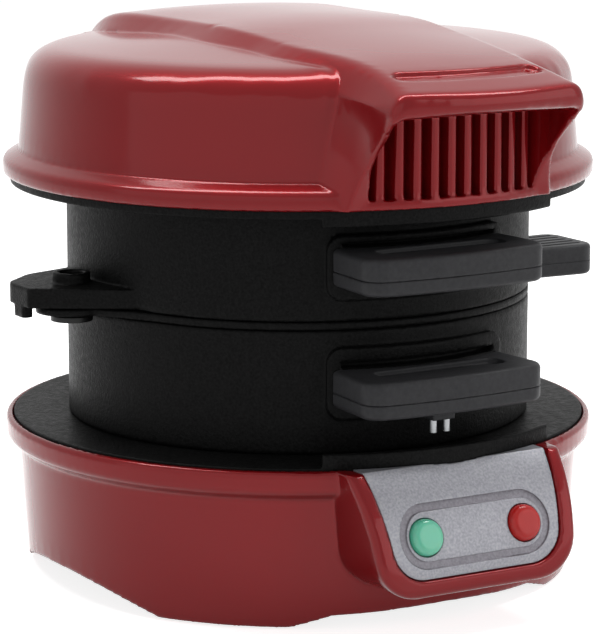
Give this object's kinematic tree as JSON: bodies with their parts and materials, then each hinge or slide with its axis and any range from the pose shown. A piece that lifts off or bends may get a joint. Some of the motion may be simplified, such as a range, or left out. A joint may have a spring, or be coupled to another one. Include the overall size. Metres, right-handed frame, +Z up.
{
  "type": "breakfast sandwich maker",
  "caption": "Countertop sandwich cooker: red base and hinged red lid with heating plates, round cooking rings between them and a cooking plate that swings out sideways.",
  "frame": {"origin": "on the table, under the middle of the overall box; the upright axis of the rings and plates stands 4.45 mm to its left", "axes": "+X to the right (to the cooking plate's handle), +Y to the back (to the hinge), +Z up; the front with the control panel and the lid's brim faces -Y"},
  "size_m": [0.168, 0.1854, 0.144],
  "materials": {
    "red_shell": "glossy deep red lacquer",
    "coated_casting": "satin black non-stick coating",
    "handle_plastic": "fine matt charcoal",
    "black_plastic": "matt black",
    "foot_rubber": "matt",
    "silver_panel": "metallic silver-grey paint",
    "green_lens": "translucent green",
    "red_lens": "translucent red",
    "lamp_glass": "clear",
    "bright_sheet": "bright rolled",
    "ceramic": "unglazed white",
    "black_bracket": "satin black",
    "plated_steel": "zinc plated"
  },
  "bodies": {
    "base": {"base_housing": "red_shell", "base_bottom_cover": "black_plastic", "rubber_feet": "foot_rubber", "bottom_cover_screws": "plated_steel", "control_panel": "silver_panel", "preheat_lens": "green_lens", "power_lens": "red_lens", "lamp_holder": "black_plastic", "indicator_lamps": "lamp_glass", "lower_heating_plate": "coated_casting", "lower_heating_element": "plated_steel", "lower_heat_reflector": "bright_sheet", "lower_reflector_screws": "plated_steel", "thermostat": "plated_steel", "thermal_fuse": "plated_steel", "terminal_block": "ceramic", "cord_gland": "black_plastic", "hinge_bracket": "black_bracket", "hinge_bracket_screws": "plated_steel", "hinge_pin": "plated_steel", "hinge_pin_clips": "plated_steel"},
    "bottom_ring_leaf": {"bottom_ring": "coated_casting", "bottom_ring_handle_lower": "handle_plastic", "bottom_ring_handle_upper": "handle_plastic", "bottom_ring_handle_screws": "plated_steel", "bottom_handle_stop_pins": "plated_steel"},
    "top_ring_leaf": {"top_ring": "coated_casting", "top_ring_handle_lower": "handle_plastic", "top_ring_handle_upper": "handle_plastic", "top_ring_handle_screws": "plated_steel", "plate_pivot_pin": "plated_steel"},
    "cooking_plate_leaf": {"cooking_plate": "coated_casting", "plate_handle_lower": "handle_plastic", "plate_handle_upper": "handle_plastic", "plate_handle_screw": "plated_steel", "plate_pivot_washer": "plated_steel"},
    "lid": {"lid_shell": "red_shell", "lid_hinge_bracket": "black_bracket", "lid_hinge_screws": "plated_steel", "upper_heating_plate": "coated_casting", "upper_heating_element": "plated_steel", "upper_heat_reflector": "bright_sheet", "upper_reflector_screws": "plated_steel", "upper_thermal_cutout": "plated_steel", "upper_plate_screws": "plated_steel"}
  },
  "joints": [
    {"name": "bottom_ring_hinge", "type": "hinge", "parent": "base", "child": "bottom_ring_leaf", "pos_m": [-0.00445, 0.083, 0.073], "axis": [-1, 0, 0], "range_deg": [0, 25]},
    {"name": "top_ring_hinge", "type": "hinge", "parent": "bottom_ring_leaf", "child": "top_ring_leaf", "pos_m": [-0.00445, 0.083, 0.073], "axis": [-1, 0, 0], "range_deg": [0, 30]},
    {"name": "lid_hinge", "type": "hinge", "parent": "top_ring_leaf", "child": "lid", "pos_m": [-0.00445, 0.083, 0.073], "axis": [-1, 0, 0], "range_deg": [0, 100]},
    {"name": "cooking_plate_pivot", "type": "hinge", "parent": "top_ring_leaf", "child": "cooking_plate_leaf", "pos_m": [-0.07045, 0, 0.073], "axis": [0, 0, 1], "range_deg": [-100, 0]}
  ]
}
